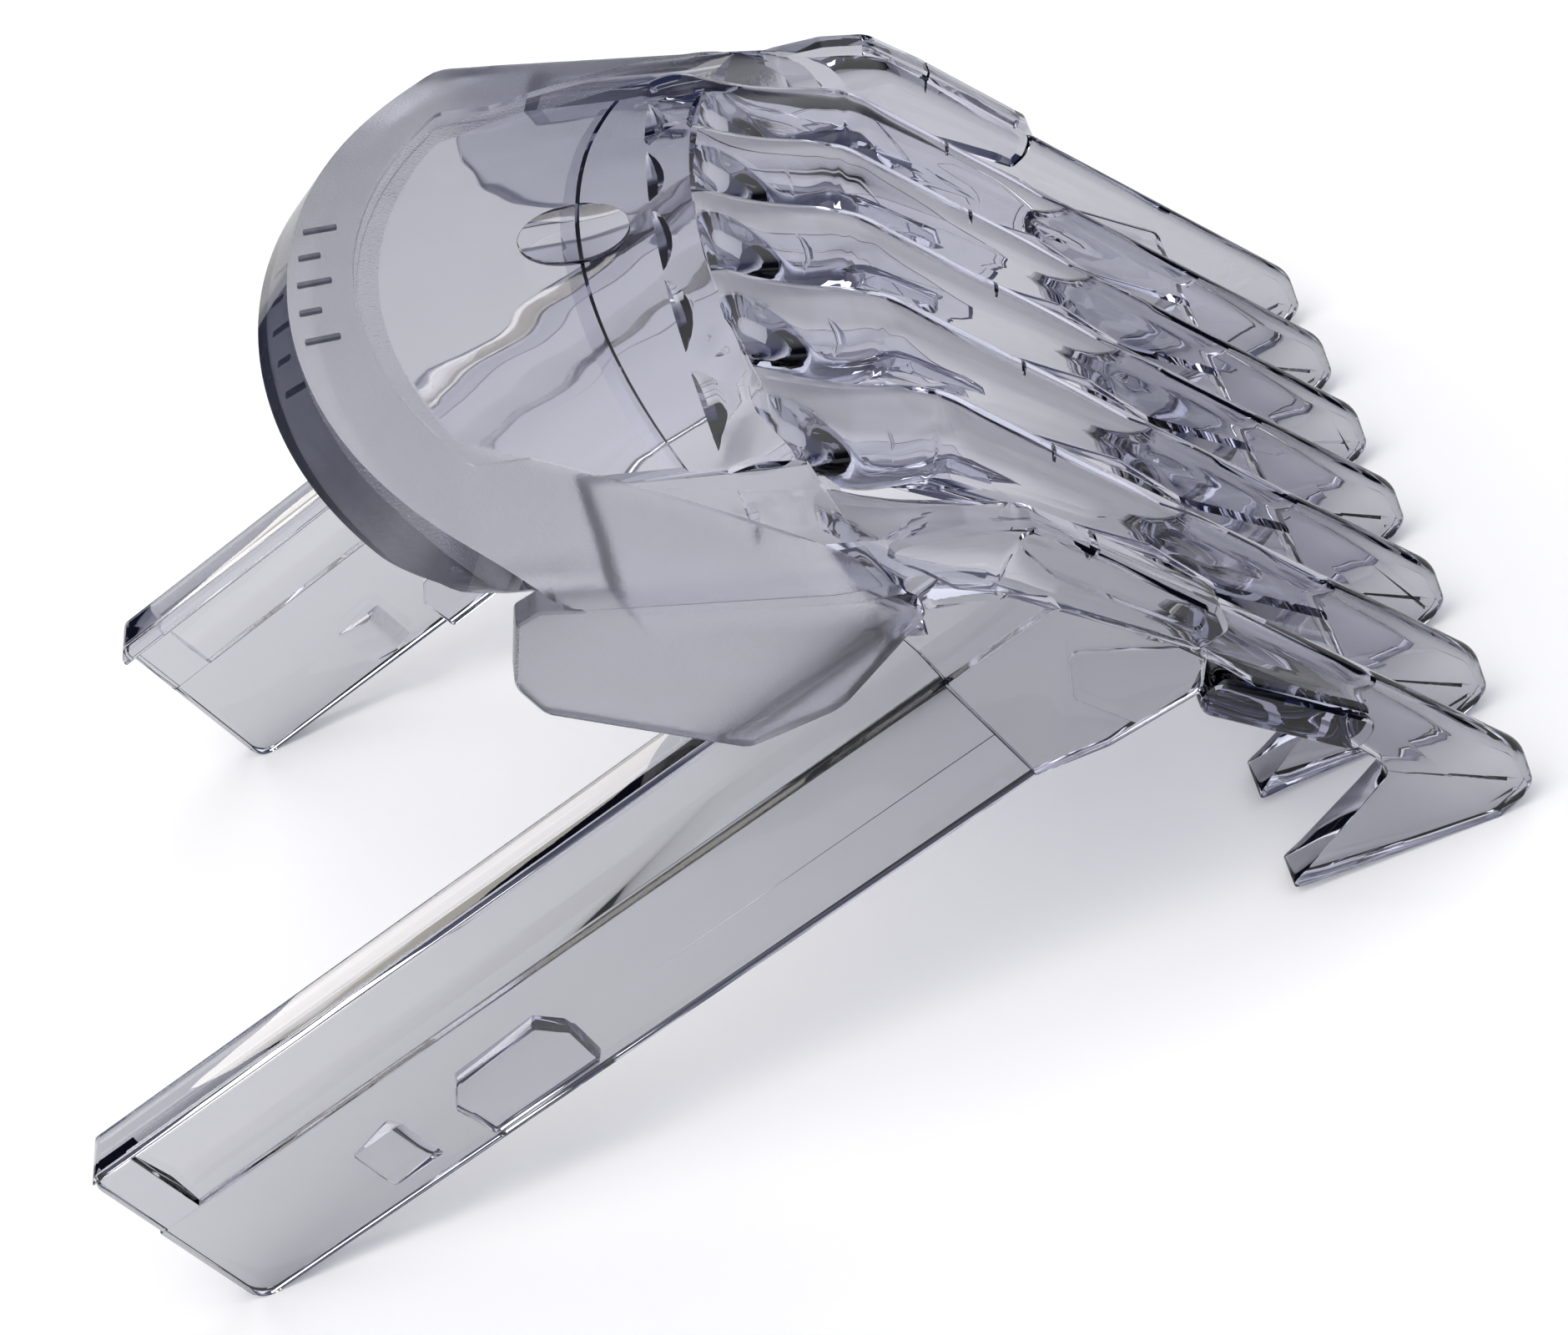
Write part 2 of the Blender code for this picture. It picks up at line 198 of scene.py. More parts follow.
def roofSheet(name, edges, rise, wall, flare=None, across=60, along=24):
    # a sheet on the roof's surface between the front and rear edges that edges(side) gives; flare
    # pushes the bottom of the rear edge out, which slants it
    mesh = bmesh.new()
    bmesh.ops.create_grid(mesh, x_segments=across, y_segments=along, size=1)
    rearEdge = {}
    for vert in mesh.verts:
        side, share = vert.co.x, math.sin((vert.co.y + 1) / 4 * math.pi)
        if share > 0.999:
            rearEdge[vert] = side
        front, rear = edges(side)
        x, y = mixed(front[0], rear[0], share), mixed(front[1], rear[1], share)
        vert.co = (x, y, roofHeight(x, y) + rise(side))
    mesh.normal_update()
    if sum(face.normal.z for face in mesh.faces) < 0:
        bmesh.ops.reverse_faces(mesh, faces=mesh.faces)
        mesh.normal_update()
    inward = {vert: -vert.normal * wall for vert in mesh.verts}
    for vert, side in rearEdge.items():
        if flare:
            slope = 2 * roof["sweep"] * vert.co.x
            outward = Vector((slope, 1, roof["slope"]))
            inward[vert] += outward.normalized() * flare(side)
    bmesh.ops.extrude_face_region(mesh, geom=mesh.faces[:])
    for vert, offset in inward.items():
        vert.co += offset
    return shapeOf(mesh, name)


def rootEdge(x):
    # where the valleys between the teeth run out on the roof
    return roof["root"] - roof["rootSweep"] * x * x


def baseEdges(side):
    x = math.sin(side * math.pi / 2) * roof["half"]
    return (x, rootEdge(x)), (x, rimEdge(x) - 0.6)


def deckEdges(side):
    x = side * (roof["half"] - 2.3)
    return (x, rootEdge(x)), (x, roof["deckRear"] - roof["deckSweep"] * x * x)


def landEdges(side):
    # the satin land follows the rim, then widens over the wings down to the crease at each side
    share, turn = abs(side), 0.66
    sign = 1 if side > 0 else -1
    if share <= turn:
        x = 16.8 * share / turn
        inner = (x, landEdge(x))
        x = 21.5 * share / turn
        outer = (x, rimEdge(x))
    else:
        along = (share - turn) / (1 - turn)
        rear, front = roof["creaseRear"], roof["creaseFront"]
        reach = max(along - 0.12, 0) / 0.88
        inner = (mixed(rear[0], front[0], reach), mixed(rear[1], front[1], reach))
        if along < 0.12:
            inner = (rear[0], mixed(landEdge(rear[0]), rear[1], along / 0.12))
        corner = min(along / 0.35, 1)
        x = mixed(21.5, roof["half"], math.sin(corner * math.pi / 2))
        outer = (x, mixed(rimEdge(x), roof["front"], max(along - 0.35, 0) / 0.65))
    return (sign * inner[0], inner[1]), (sign * outer[0], outer[1])


def landRise(side):
    return mixed(roof["landRise"], roof["creaseRise"], min(max((abs(side) - 0.66) / 0.34, 0), 1))


def rimFlare(side):
    # the rim's end face is a wide chamfer that dies out at the wings
    fade = min(max((0.80 - abs(side)) / 0.22, 0), 1)
    return roof["chamfer"] * fade * fade * (3 - 2 * fade)


def makeRoof():
    return [roofSheet("roofSheet", baseEdges, lambda side: 0, roof["wall"]),
            roofSheet("frontDeck", deckEdges, lambda side: -0.05, roof["deckWall"],
                      lambda side: roof["deckSlant"], 40, 10),
            roofSheet("rimLand", landEdges, landRise, roof["landWall"], rimFlare, 160, 16)]


def onRoof(x, y, rise=0):
    # the turn and place of a detail that lies on the roof
    reach = 0.01
    here = Vector((x, y, roofHeight(x, y) + rise))
    rightward = Vector((reach, 0, roofHeight(x + reach, y) - roofHeight(x, y))).normalized()
    rearward = Vector((0, reach, roofHeight(x, y + reach) - roofHeight(x, y))).normalized()
    up = rightward.cross(rearward)
    turn = Matrix((rightward, up.cross(rightward), up)).transposed().to_4x4()
    return Matrix.Translation(here) @ turn


gate = {"place": (0.4, 5.0), "radius": 2.8, "rise": 0.1, "pip": 0.7}


def makeGate():
    # the round pad round the gate, where the plastic entered the mould
    mesh = bmesh.new()
    bmesh.ops.create_cone(mesh, cap_ends=True, segments=64, radius1=gate["radius"], radius2=gate["radius"],
                          depth=1.0)
    soften(mesh, 0.08, 3)
    bmesh.ops.transform(mesh, matrix=onRoof(*gate["place"], gate["rise"] - 0.5), verts=mesh.verts)
    return shapeOf(mesh, "gatePad")


ticks = {"count": 5, "spacing": 2.6, "width": 0.34, "long": 1.7, "short": 1.1, "rise": 0.16}


def makeTicks():
    # plain raised marks along the rim, long and short by turns
    marks = bmesh.new()
    for index in range(ticks["count"]):
        x = (index - (ticks["count"] - 1) / 2) * ticks["spacing"]
        length = ticks["long"] if index % 2 == 0 else ticks["short"]
        size = Vector((ticks["width"], length, 2 * ticks["rise"]))
        place = onRoof(x, rimEdge(x) - 0.45 - length / 2 * 0.86, roof["landRise"])
        made = bmesh.ops.create_cube(marks, size=1, matrix=place @ Matrix.Diagonal(size).to_4x4())
    soften(marks, 0.07, 2)
    return shapeOf(marks, "sizeTicks")


def makeGusset(side):
    # the thick fillet under each crease, which gathers the light into a dark lens
    corners = [(24.0, 11.6, 0), (22.9, 11.6, 0), (22.2, 15.0, 3.0), (17.2, 16.8, 0), (17.0, 18.4, 0),
               (24.0, 15.4, 0)]

    def follow(co):
        return Vector((0, 0, roofHeight(co.x, co.y) - roofHeight(co.x, 0)))

    corners = [(side * a, b, r) for a, b, r in corners]
    return plate("gusset", corners, -1.2, 7.9, "Y", 0, 0, follow)


# ---- teeth

teeth = {"count": 7, "pitch": 7.4, "blade": 0.78, "outerFace": 23.6, "rootY": -0.6, "crestY": -6.2, "crestZ": 17.0,
         "crestDrop": 0.0095, "crestSweep": 0.0035, "nose": (-17.6, -15.6), "sole": (-14.6, -18.3)}


def crestOf(x):
    return teeth["crestY"] - teeth["crestSweep"] * x * x, teeth["crestZ"] - teeth["crestDrop"] * x * x


def toothProfile(x):
    # the blade under the ridge, which stops short of the ridge's rounded top
    crestY, crestZ = crestOf(x)
    landZ = roofHeight(x, teeth["rootY"])
    noseY, noseZ = teeth["nose"]
    soleY, soleZ = teeth["sole"]
    return [(teeth["rootY"] + 0.9, landZ - 1.4, 0), (crestY + 1.2, crestZ - 1.8, 2.0),
            (noseY + 0.6, noseZ + 0.3, 1.2), (soleY - 2.0, soleZ + 0.4, 1.0), (soleY, soleZ, 0.4),
            (-4.3, -14.8, 0.3), (-12.3, -11.9, 0.8), (-9.2, 1.2, 1.2), (-3.1, 12.6, 1.2)]


def ridgePath(x):
    # the top line of a tooth from inside the roof, over the crest and the nose to the sole; corners
    # are held by a point each side of them, and corner cutting then rounds the line
    crestY, crestZ = crestOf(x)
    land = [Vector((x, y, roofHeight(x, y) - sink)) for y, sink in ((2.6, 1.3), (1.2, 0.4), (-0.4, 0.05))]
    crest = Vector((x, crestY, crestZ))
    nose = Vector((x, *teeth["nose"]))
    sole = Vector((x, *teeth["sole"]))
    heel = sole - Vector((0, 2.2, 0))
    points = [land[0], land[1], land[2], crest.lerp(land[2], 0.45), crest, crest.lerp(nose, 0.08),
              crest.lerp(nose, 0.30), crest.lerp(nose, 0.60), nose.lerp(crest, 0.05), nose, nose.lerp(heel, 0.5), heel, sole]
    for step in range(3):
        rounder = [points[0]]
        for here, there in zip(points, points[1:]):
            rounder += [here.lerp(there, 0.25), here.lerp(there, 0.75)]
        points = rounder + [points[-1]]
    return points


def ridgeWidth(point):
    # half the ridge's width: it fills the pitch at the root and thins to the blade
    stations = [(-30, 0.8), (-2, 0.8), (6, 0.98), (11, 1.25), (14.5, 1.65), (17, 2.15), (19, 2.85), (20.6, 3.5),
                (21.9, 4.1), (40, 4.3)]
    height = point.z + 0.0083 * point.x ** 2
    for (low, narrow), (high, wide) in zip(stations, stations[1:]):
        if height <= high:
            share = (height - low) / (high - low)
            return mixed(narrow, wide, share)
    return stations[-1][1]


def makeRidge(x):
    path = ridgePath(x)
    mesh = bmesh.new()
    around, along = 28, len(path) - 1
    bmesh.ops.create_grid(mesh, x_segments=around, y_segments=along, size=1)
    for vert in mesh.verts:
        index = round((vert.co.y + 1) / 2 * along)
        turn = (vert.co.x + 1) * math.pi
        here = path[index]
        way = (path[min(index + 1, along)] - path[max(index - 1, 0)]).normalized()
        up = way.cross(Vector((1, 0, 0)))
        wide = ridgeWidth(here)
        free = min(max((0.6 - here.y) / 5.0, 0), 1)
        free = free * free * (3 - 2 * free)
        high = mixed(0.4, min(wide, 1.9), free)
        low = mixed(1.2, min(2.2 * wide, 2.6), free)
        rise = math.cos(turn) * (high if math.cos(turn) > 0 else low)
        vert.co = here + Vector((1, 0, 0)) * math.sin(turn) * wide + up * (rise - high)
        vert.co.x = min(max(vert.co.x, -teeth["outerFace"]), teeth["outerFace"])
    bmesh.ops.remove_doubles(mesh, verts=mesh.verts, dist=1e-4)
    bmesh.ops.holes_fill(mesh, edges=[edge for edge in mesh.edges if edge.is_boundary])
    return shapeOf(mesh, "ridge")


def makeTooth(index):
    x = ((teeth["count"] - 1) / 2 - index) * teeth["pitch"]
    wide, thin = teeth["pitch"] / 2 + 0.05, teeth["blade"]
    side = plate("toothSide", toothProfile(x), x - wide - 1, x + wide + 1, "X", 0)
    half = [(thin + 1.4, 2, 0), (thin + 1.2, -1.5, 2.0), (thin + 0.35, -6.0, 5.0), (thin, -10.5, 8), (thin, -20, 0)]
    outline = half + [(-a, b, r) for a, b, r in reversed(half)]
    outline = [(min(max(a + x, -23.0), 23.0), b, r) for a, b, r in outline]
    plan = plate("toothPlan", outline, -40, 60, "Z", 0)
    tooth = combine(side, [plan], "INTERSECT")
    return [softenShape(tooth, 0.3, 3, 28), makeRidge(x)]


crossbar = {"profile": [(-9.0, -0.9, 0.9), (-7.3, -1.9, 0.9), (-11.7, -9.5, 0.8), (-13.6, -8.7, 0.8)],
            "half": 23.5, "ejectorRadius": 1.2, "ejectorRise": 0.1}


def makeCrossbar():
    bar = plate("crossbar", crossbar["profile"], -crossbar["half"], crossbar["half"], "X", 0.35)
    discs = []
    start, end = Vector((0, -8.8, -1.3)), Vector((0, -13.5, -8.6))
    outward = Vector((0, start.z - end.z, end.y - start.y)).normalized() * -1
    for index in range(teeth["count"] - 1):
        mesh = bmesh.new()
        bmesh.ops.create_cone(mesh, cap_ends=True, segments=40, radius1=crossbar["ejectorRadius"],
                              radius2=crossbar["ejectorRadius"], depth=0.8)
        soften(mesh, 0.08, 2)
        middle = start.lerp(end, 0.62) + outward * (crossbar["ejectorRise"] - 0.4)
        middle.x = (index - teeth["count"] / 2 + 1) * teeth["pitch"]
        bmesh.ops.transform(mesh, matrix=Matrix.Translation(middle) @ outward.to_track_quat("Z", "X").to_matrix().to_4x4(),
                            verts=mesh.verts)
        discs.append(shapeOf(mesh, "ejectorMark"))
    return [bar] + discs


def makeWitness(index):
    # the fine line that a join in the mould leaves across each tooth's ridge
    x = ((teeth["count"] - 1) / 2 - index) * teeth["pitch"]
    mesh = bmesh.new()
    bmesh.ops.create_cube(mesh, size=1)
    ridge = Vector((0, -11.4, -32.6)).normalized()
    bmesh.ops.scale(mesh, vec=(3, 1.0, 0.16), verts=mesh.verts)
    bmesh.ops.rotate(mesh, cent=(0, 0, 0), matrix=Vector((0, 0, 1)).rotation_difference(ridge).to_matrix(), verts=mesh.verts)
    bmesh.ops.translate(mesh, vec=(x, -9.2, 9.0), verts=mesh.verts)
    return shapeOf(mesh, "witnessLine")


# ---- sides

arm = {"outer": 23.0, "wall": 1.5, "top": 12.5, "end": 50.0}


def railSection(side):
    section = [(23.0, -3, 0), (23.0, 7.3, 0.1), (22.5, 7.3, 0.1), (22.2, 9.2, 0.3), (22.55, 12.0, 0.1),
               (23.0, 12.0, 0.1), (23.0, 12.5, 0.1), (20.1, 12.5, 0.3), (20.1, 11.5, 0.3), (21.5, 11.5, 0.3),
               (21.5, -3, 0)]
    return [(side * a, b, r) for a, b, r in section]


def makeRoot(side):
    # the arm's section carried forward under the wing to the outermost tooth
    rail = plate("root", railSection(side), -14, 0.3, "Y", 0)
    outline = [(0.3, 0, 0), (-3.2, -1.0, 1.5), (-8.2, -1.4, 0.8), (-9.9, 0.6, 0.5), (-3.3, 12.5, 0.5), (0.3, 12.5, 0)]
    trim = plate("trim", outline, side * 19, side * 24, "X", 0)
    root = softenShape(combine(rail, [trim], "INTERSECT"), 0.12, 2)
    step = plate("rootStep", [(-4.9, -0.6, 0), (-3.6, 2.6, 0.5), (-5.0, 5.0, 0.5), (-8.9, 1.6, 0), (-9.4, 0.2, 0), (-7.6, -1.0, 0)],
                 side * 22.9, side * 23.22, "X", 0.1)
    return combine(root, [step])


def makeSideBlock(side):
    # the thick outer face of the outermost tooth, which stands proud of the arm's root
    outline = [(-1.6, 16.6, 0.8), (-6.0, 14.3, 1.5), (-8.0, 12.7, 1.5), (-9.3, 9.6, 2.0), (-11.7, 2.6, 0.5), (-11.3, 1.2, 0.5),
               (-9.6, 1.2, 0.3), (-6.1, 7.7, 0.3), (-6.2, 8.6, 0.3), (-3.5, 11.8, 0.4), (-2.9, 13.8, 0.6)]
    block = plate("sideBlock", outline, side * 22.0, side * 23.95, "X", 0.4, 1)
    hollow = plate("sideHollow", [(-6.9, 12.7, 0.9), (-7.9, 12.0, 1.2), (-8.8, 10.2, 1.2), (-11.2, 2.9, 0.3), (-10.2, 2.1, 0.3),
                                  (-7.2, 9.4, 0.9)], side * 23.45, side * 24.2, "X", 0)
    return combine(block, [hollow], "DIFFERENCE")


def makeWing(side):
    outline = [(-2.2, 12.2, 0.5), (-1.4, 14.4, 0.3), (10.2, 24.3, 0.3), (11.4, 24.4, 0.3), (13.9, 21.6, 1.2),
               (14.0, 19.4, 1.2), (8.8, 11.2, 1.0), (4.2, 10.2, 2.5)]

    def lean(co):
        below = max(roofHeight(roof["half"], co.y) - co.z, 0)
        return Vector((-side * 0.09 * below, 0, 0))

    return plate("wing", outline, side * 22.9, side * roof["half"], "X", 0.5, 3, lean)


def makeArm(side):
    rail = plate("rail", railSection(side), 0.35, 50, "Y", 0.0)
    outline = [(0.35, 0, 0), (50, 0, 1.0), (50, 12.5, 1.0), (0.35, 12.5, 0)]
    trim = plate("trim", outline, side * 19, side * 24, "X", 0)
    body = softenShape(combine(rail, [trim], "INTERSECT"), 0.12, 2)
    shoe = [(27.0, 2.6, 0.2), (28.0, 3.9, 0.3), (33.2, 3.7, 0.3), (34.3, 2.5, 0.2), (34.1, 0, 0), (27.2, 0, 0)]
    pad = plate("shoe", shoe, side * 21.6, side * 20.4, "X", 0.3)
    ramp = plate("catch", [(side * 21.6, 36.7, 0), (side * 20.5, 37.6, 0.4), (side * 21.35, 40.0, 0.1),
                           (side * 21.6, 40.0, 0)], 0.9, 3.8, "Z", 0.1)
    thicker = plate("webStep", [(0.4, 2.8, 0), (0.4, 7.0, 0), (27, 7.0, 0), (27, 2.8, 0)], side * 21.7,
                    side * 21.38, "X", 0.05, 2, lambda co: Vector((side * 0.13 * co.y / 27, 0, 0)))
    stop = plate("grooveEnd", [(47.3, 7.0, 0), (47.3, 12.3, 0.3), (49.9, 12.3, 0.9), (49.9, 7.0, 0)],
                 side * 21.8, side * 22.97, "X", 0.1)
    return combine(body, [pad, ramp, thicker, stop])


def finishPiece(shape, name):
    shape.name = name
    shape.data.name = name
    shape.data.transform(standing @ Matrix.Scale(mm, 4))
    shape.data.set_sharp_from_angle(angle=math.radians(28))
    for polygon in shape.data.polygons:
        polygon.use_smooth = True
    return shape


# ---- materials

def combPlace(tree):
    # the place on the comb, in its own square frame and in millimetres
    turnBack = leanTurn.inverted()
    objectPlace = addNode(tree, "ShaderNodeTexCoord").outputs["Object"]
    return addNode(tree, "ShaderNodeMapping", {"vector_type": "POINT"},
                   {"Location": turnBack @ -standing.translation / mm, "Rotation": turnBack.to_euler(),
                    "Scale": (1 / mm, 1 / mm, 1 / mm)}, {"Vector": objectPlace}).outputs["Vector"]


def sums(tree, operation, first, second):
    node = addNode(tree, "ShaderNodeMath", {"operation": operation})
    for socket, value in zip(node.inputs, (first, second)):
        if isinstance(value, (int, float)):
            socket.default_value = value
        else:
            tree.links.new(value, socket)
    return node.outputs[0]


def satinMask(tree, place):
    # 1 on the spark-eroded land and wings, 0 on the polished window inside them
    parts = addNode(tree, "ShaderNodeSeparateXYZ", links={"Vector": place})
    x, y = sums(tree, "ABSOLUTE", parts.outputs["X"], 0), parts.outputs["Y"]
    rearwards = sums(tree, "SUBTRACT", y, roof["landFront"] - roof["landRadius"])
    squares = sums(tree, "ADD", sums(tree, "MULTIPLY", x, x), sums(tree, "MULTIPLY", rearwards, rearwards))
    pastArc = sums(tree, "SUBTRACT", sums(tree, "SQRT", squares, 0), roof["landRadius"])
    rear, front = Vector(roof["creaseRear"]), Vector(roof["creaseFront"])
    outward = Vector((rear.y - front.y, front.x - rear.x)).normalized()
    pastCrease = sums(tree, "ADD", sums(tree, "MULTIPLY", x, outward.x), sums(tree, "MULTIPLY", y, outward.y))
    pastCrease = sums(tree, "SUBTRACT", pastCrease, outward.dot(rear))
    past = sums(tree, "MAXIMUM", pastArc, pastCrease)
    satin = addNode(tree, "ShaderNodeMapRange", {"interpolation_type": "SMOOTHSTEP"},
                    {"From Min": -0.1, "From Max": 0.1}, {"Value": past}).outputs["Result"]
    facing = addNode(tree, "ShaderNodeSeparateXYZ",
                     links={"Vector": addNode(tree, "ShaderNodeTexCoord").outputs["Normal"]})
    notRearward = addNode(tree, "ShaderNodeMapRange", {}, {"From Min": 0.35, "From Max": 0.15},
                          {"Value": facing.outputs["Y"]}).outputs["Result"]
    square = sums(tree, "MULTIPLY", x, x)
    swept = sums(tree, "ADD", sums(tree, "MULTIPLY", square, roof["sweep"]),
                 sums(tree, "MULTIPLY", sums(tree, "MULTIPLY", square, square), roof["hook"]))
    pastRim = sums(tree, "SUBTRACT", sums(tree, "ADD", y, swept), roof["rim"])
    onLand = addNode(tree, "ShaderNodeMapRange", {}, {"From Min": 0.2, "From Max": 0.05},
                     {"Value": pastRim}).outputs["Result"]
    onWing = addNode(tree, "ShaderNodeMapRange", {}, {"From Min": 20.5, "From Max": 22.5}, {"Value": x}).outputs["Result"]
    notRearward = sums(tree, "MULTIPLY", notRearward, sums(tree, "MAXIMUM", onLand, onWing))
    aboveArm = addNode(tree, "ShaderNodeMapRange", {}, {"From Min": 9.0, "From Max": 9.6},
                       {"Value": parts.outputs["Z"]}).outputs["Result"]
    return sums(tree, "MULTIPLY", sums(tree, "MULTIPLY", satin, notRearward), aboveArm)


# Clear polycarbonate, injection moulded: polished steel leaves it glassy, with the slight waves of
# plastic that froze as it flowed, and thick stretches turn a dull navy from the toner in it.
polycarbonate = {"colour": "#f7f7fc", "ior": 1.58, "polish": 0.02, "satin": 0.34, "grainMm": 0.16,
                 "grainHeight": 0.02, "waveMm": 7.0, "waveHeight": 0.10, "toner": "#b0b4c8", "tonerPerMetre": 110}


def clearPolycarbonate(name, satin):
    material = bpy.data.materials.new(name)
    material.use_nodes = True
    tree = material.node_tree
    surface = tree.nodes["Principled BSDF"]
    surface.inputs["Base Color"].default_value = linear(polycarbonate["colour"])
    surface.inputs["Roughness"].default_value = polycarbonate["polish"]
    surface.inputs["IOR"].default_value = polycarbonate["ior"]
    surface.inputs["Transmission Weight"].default_value = 1.0
    place = combPlace(tree)
    waves = addNode(tree, "ShaderNodeTexNoise", {}, {"Scale": 1 / polycarbonate["waveMm"], "Detail": 1.0},
                    {"Vector": place})
    wavy = addNode(tree, "ShaderNodeBump", {}, {"Strength": 1.0, "Distance": polycarbonate["waveHeight"] * mm},
                   {"Height": waves.outputs["Fac"]})
    tree.links.new(wavy.outputs["Normal"], surface.inputs["Normal"])
    if satin:
        mask = satinMask(tree, place)
        rough = addNode(tree, "ShaderNodeMapRange", {}, {"To Min": polycarbonate["polish"],
                        "To Max": polycarbonate["satin"]}, {"Value": mask})
        tree.links.new(rough.outputs["Result"], surface.inputs["Roughness"])
        grain = addNode(tree, "ShaderNodeTexNoise", {}, {"Scale": 1 / polycarbonate["grainMm"], "Detail": 2.0},
                        {"Vector": place})
        eroded = addNode(tree, "ShaderNodeBump", {}, {"Distance": polycarbonate["grainHeight"] * mm},
                         {"Height": grain.outputs["Fac"], "Strength": mask, "Normal": wavy.outputs["Normal"]})
        tree.links.new(eroded.outputs["Normal"], surface.inputs["Normal"])
    depth = addNode(tree, "ShaderNodeVolumeAbsorption", {}, {"Color": linear(polycarbonate["toner"]),
                    "Density": polycarbonate["tonerPerMetre"]})
    tree.links.new(depth.outputs["Volume"], tree.nodes["Material Output"].inputs["Volume"])
    return material


# Pad-printed ink on the ticks' tops: a thin grey film, matt and slightly patchy where it has worn.
ink = {"colour": "#3c3f4a", "worn": "#6d707c", "roughness": 0.55, "patchMm": 0.6}


def tickInk():
    material = bpy.data.materials.new("padPrintedInk")
    material.use_nodes = True
    tree = material.node_tree
    place = combPlace(tree)
    patches = addNode(tree, "ShaderNodeTexNoise", {}, {"Scale": 1 / ink["patchMm"], "Detail": 3.0}, {"Vector": place})
    worn = addNode(tree, "ShaderNodeMix", {"data_type": "RGBA"}, {}, {"Factor": patches.outputs["Fac"]})
    worn.inputs[6].default_value = linear(ink["colour"])
    worn.inputs[7].default_value = linear(ink["worn"])
    surface = tree.nodes["Principled BSDF"]
    tree.links.new(worn.outputs[2], surface.inputs["Base Color"])
    surface.inputs["Roughness"].default_value = ink["roughness"]
    return material


print("roof, wings and roots")
shell = makeRoof()
for side in (-1, 1):
    shell += [makeRoot(side), makeWing(side), makeSideBlock(side), makeGusset(side)]
print("teeth")
for index in range(teeth["count"]):
    shell += makeTooth(index)
shell += makeCrossbar() + [makeGate()]
head = combine(shell[0], shell[1:])
head = combine(head, [makeWitness(index) for index in range(teeth["count"])], "DIFFERENCE")
print("head has", len(head.data.polygons), "faces")
finishPiece(head, "combHead")
plastic = clearPolycarbonate("clearMouldedPolycarbonate", False)
headPlastic = clearPolycarbonate("satinEdgedPolycarbonate", True)
head.data.materials.clear()
head.data.materials.append(headPlastic)
headNodes = frame["record"]["behaviour"]["bodies"]["comb_head"]
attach(head, "comb_head")
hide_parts(*[node for node in headNodes if not node.startswith("size_tick")])

print("size ticks")
tickMarks = finishPiece(makeTicks(), "sizeTicks")
tickMarks.data.materials.append(tickInk())
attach(tickMarks, "comb_head")
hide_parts(*[node for node in headNodes if node.startswith("size_tick")])

print("arms")
for side, label in ((-1, "left"), (1, "right")):
    piece = finishPiece(makeArm(side), label + "Arm")
    piece.data.materials.clear()
    piece.data.materials.append(plastic)
    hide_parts(*frame["record"]["behaviour"]["bodies"][label + "_arm"])
    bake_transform(piece)

# ---- floor, lights and camera

print("floor, lights and camera")
floorMesh = bmesh.new()
bmesh.ops.create_grid(floorMesh, x_segments=1, y_segments=1, size=1.5)
floor = shapeOf(floorMesh, "studioFloor")
floorMaterial = bpy.data.materials.new("backdropPaperWithPaintedShade")
floorMaterial.use_nodes = True
paper = floorMaterial.node_tree
# Painted shade: the paper is coloured grey wherever it is seen through the plastic, and pale where the camera sees it
# directly.
paperLitAndPaintedShade = {"lit": "#f6f6f6", "paintedShadeThroughPlastic": "#cbcbca"}
seenDirectly = addNode(paper, "ShaderNodeLightPath").outputs["Is Camera Ray"]
paperPaintedShadeMix = addNode(paper, "ShaderNodeMix", {"data_type": "RGBA"}, {"Factor": 0.0}, {"Factor": seenDirectly})
paperPaintedShadeMix.inputs[6].default_value = linear(paperLitAndPaintedShade["paintedShadeThroughPlastic"])
paperPaintedShadeMix.inputs[7].default_value = linear(paperLitAndPaintedShade["lit"])
paper.links.new(paperPaintedShadeMix.outputs[2], paper.nodes["Principled BSDF"].inputs["Base Color"])
paper.nodes["Principled BSDF"].inputs["Roughness"].default_value = 0.9
floor.data.materials.append(floorMaterial)

world = bpy.data.worlds.new("studio")
bpy.context.scene.world = world
world.use_nodes = True
studio = world.node_tree
skyPlace = addNode(studio, "ShaderNodeTexCoord").outputs["Generated"]
skyParts = addNode(studio, "ShaderNodeSeparateXYZ", links={"Vector": skyPlace})
horizon = addNode(studio, "ShaderNodeMapRange", {"interpolation_type": "SMOOTHSTEP"},
                  {"From Min": 0.22, "From Max": 0.55}, {"Value": skyParts.outputs["Z"]})
flagWay = addNode(studio, "ShaderNodeVectorMath", {"operation": "DOT_PRODUCT"}, {}, {"Vector": skyPlace})
flagWay.inputs[1].default_value = Vector((0.74, 0.40, 0.54)).normalized()
flag = addNode(studio, "ShaderNodeMapRange", {"interpolation_type": "SMOOTHSTEP"},
               {"From Min": 0.90, "From Max": 0.70}, {"Value": flagWay.outputs["Value"]})
open_ = sums(studio, "MULTIPLY", horizon.outputs["Result"], flag.outputs["Result"])
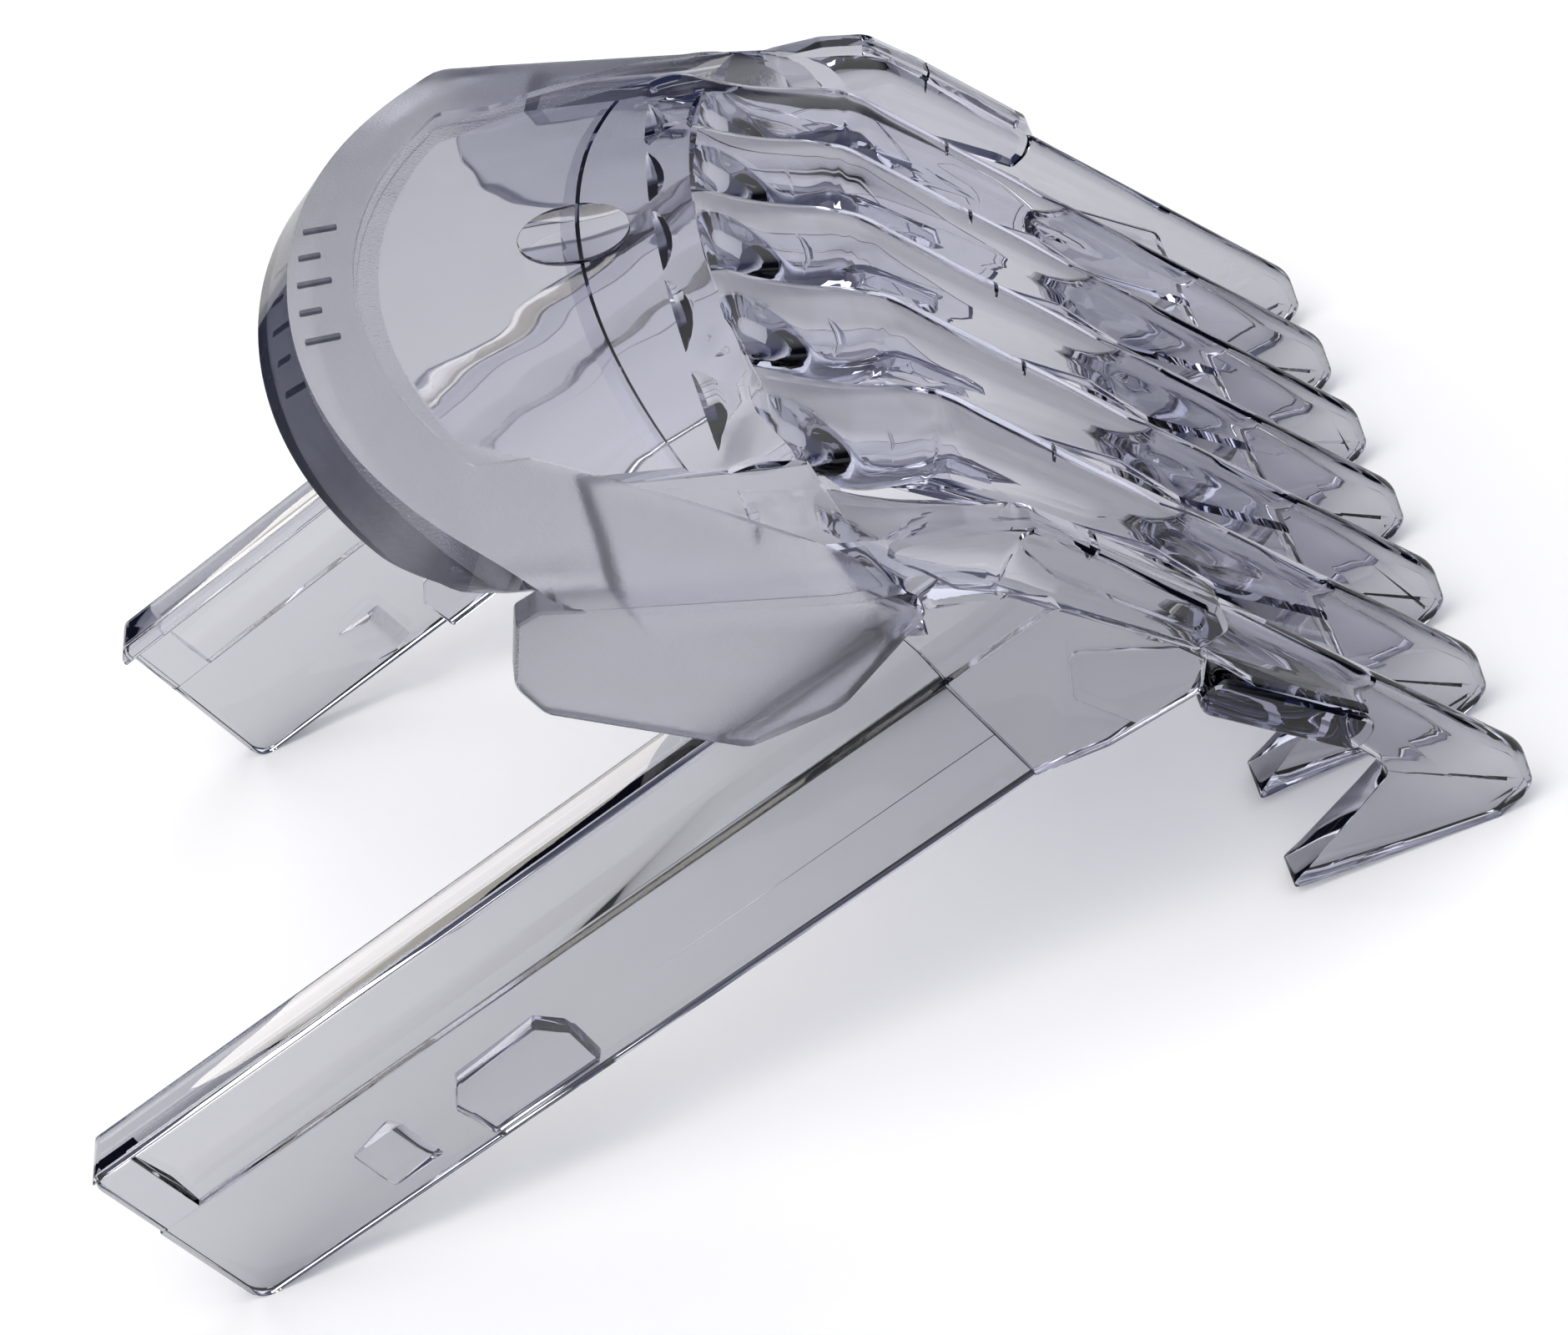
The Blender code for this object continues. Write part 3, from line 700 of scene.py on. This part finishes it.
skyColour = addNode(studio, "ShaderNodeMix", {"data_type": "RGBA"}, {}, {"Factor": open_})
skyColour.inputs[6].default_value = (0.02, 0.025, 0.06, 1)
skyColour.inputs[7].default_value = (0.94, 0.95, 1.0, 1)
backdrop = addNode(studio, "ShaderNodeLightPath").outputs["Is Camera Ray"]
shown = addNode(studio, "ShaderNodeMix", {"data_type": "RGBA"}, {}, {"Factor": backdrop})
studio.links.new(skyColour.outputs[2], shown.inputs[6])
shown.inputs[7].default_value = (0.9, 0.9, 0.92, 1)
studio.links.new(shown.outputs[2], studio.nodes["Background"].inputs["Color"])
studio.nodes["Background"].inputs["Strength"].default_value = 1.36

camera = {"place": (-136.699, -38.151, 91.272), "right": (-0.12803, -0.77685, -0.61654),
          "forward": (0.78706, 0.29867, -0.53976), "lens": 73.81}


def areaLight(name, place, target, size, power, colour="#ffffff"):
    data = bpy.data.lights.new(name, "AREA")
    data.shape = "RECTANGLE"
    data.size, data.size_y = size
    data.energy = power
    data.color = linear(colour)[:3]
    light = bpy.data.objects.new(name, data)
    light.location = place
    light.rotation_euler = (Vector(target) - Vector(place)).to_track_quat("-Z", "Y").to_euler()
    bpy.context.scene.collection.objects.link(light)


areaLight("topSoftbox", (-0.1, 0.15, 0.55), (0, 0, 0), (0.35, 0.35), 0.9, "#fffaf0")
areaLight("rearSoftbox", (0.5, 0.3, 0.3), (0, 0, 0.01), (0.3, 0.2), 0.8, "#fffaf0")


def makeCamera():
    lensData = bpy.data.cameras.new("studioCamera")
    lensData.lens = camera["lens"]
    lensData.sensor_width = 36
    lensData.clip_start = 0.005
    view = bpy.data.objects.new("studioCamera", lensData)
    bpy.context.scene.collection.objects.link(view)
    turn = leanTurn.to_3x3()
    forward = (turn @ Vector(camera["forward"])).normalized()
    right = (turn @ Vector(camera["right"])).normalized()
    upward = right.cross(forward)
    view.matrix_world = Matrix((right, upward, -forward)).transposed().to_4x4()
    view.location = toWorld(camera["place"])
    bpy.context.scene.camera = view


makeCamera()
bpy.context.scene.view_settings.view_transform = "Standard"
